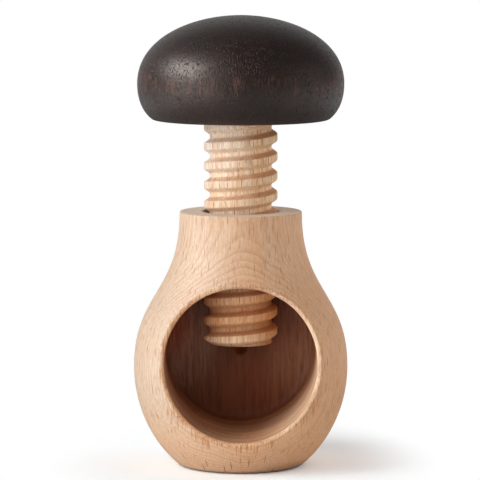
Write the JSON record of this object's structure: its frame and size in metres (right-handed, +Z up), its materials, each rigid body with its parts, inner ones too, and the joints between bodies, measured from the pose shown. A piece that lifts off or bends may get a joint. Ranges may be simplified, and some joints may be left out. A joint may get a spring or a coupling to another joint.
{
  "type": "screw nutcracker",
  "caption": "Turned wooden screw nutcracker: a gourd-shaped body with a bored nut chamber, and a wooden screw in its neck that a dark mushroom knob turns down onto the nut.",
  "frame": {"origin": "middle of the flat base, on the screw's axis", "axes": "+Z up along the screw's axis, -Y out of the chamber's mouth, +X to the right when the mouth faces the viewer"},
  "size_m": [0.0728, 0.0715, 0.1535],
  "materials": {
    "beech": "satin, fine sanded",
    "beech_screw": "satin, cut thread",
    "dark_stained_wood": "dark brown-black stain, satin",
    "beech_dowel": "raw"
  },
  "bodies": {
    "body": {"body": "beech"},
    "dowel": {"knob_dowel": "beech_dowel"},
    "screw": {"screw": "beech_screw", "knob": "dark_stained_wood"}
  },
  "joints": [
    {"name": "screw_travel", "type": "slide", "parent": "body", "child": "dowel", "axis": [0, 0, 1], "range_m": [-0.0265, 0.0364]},
    {"name": "screw_turn", "type": "hinge", "parent": "dowel", "child": "screw", "pos_m": [0, 0, 0.087], "axis": [0, 0, 1], "range_deg": [-1440, 1980]}
  ],
  "couplings": [
    {"joint": "screw_travel", "follows": "screw_turn", "m_per_rad": 0.0010504}
  ]
}
